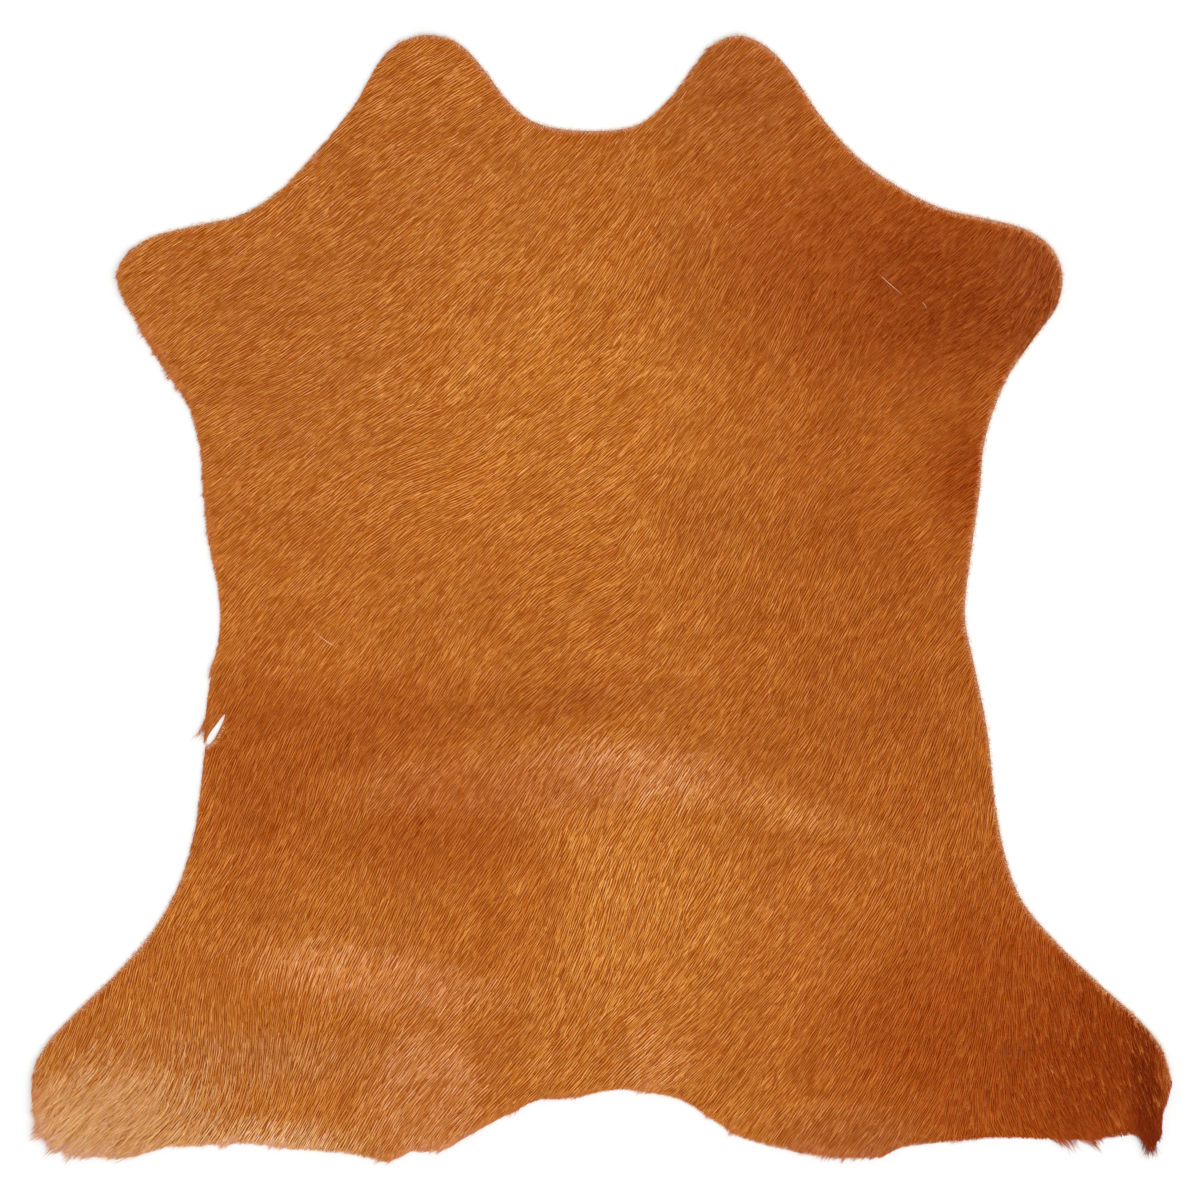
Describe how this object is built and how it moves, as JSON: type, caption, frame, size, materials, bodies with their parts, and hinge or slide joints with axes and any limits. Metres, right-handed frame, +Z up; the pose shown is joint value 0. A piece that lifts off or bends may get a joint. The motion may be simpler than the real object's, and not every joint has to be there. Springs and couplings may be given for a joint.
{
  "type": "leather hide",
  "caption": "Flat hair-on leather hide with neck flaps, leg lobes and a small nick in one flank; lies on a floor as a rug or serves as a whole skin for leatherwork.",
  "frame": {"origin": "on the floor, under the middle of the hide's box", "axes": "+Z up through the hair side, +Y towards the neck, +X to the right seen from above with the neck away"},
  "size_m": [0.9102, 0.902, 0.0075],
  "materials": {
    "hide": "short caramel brown calf hair lying flat, redder to the right, blond at the left hind leg, on tanned leather with a suede underside"
  },
  "bodies": {
    "root": {"hide": "hide"}
  },
  "joints": []
}
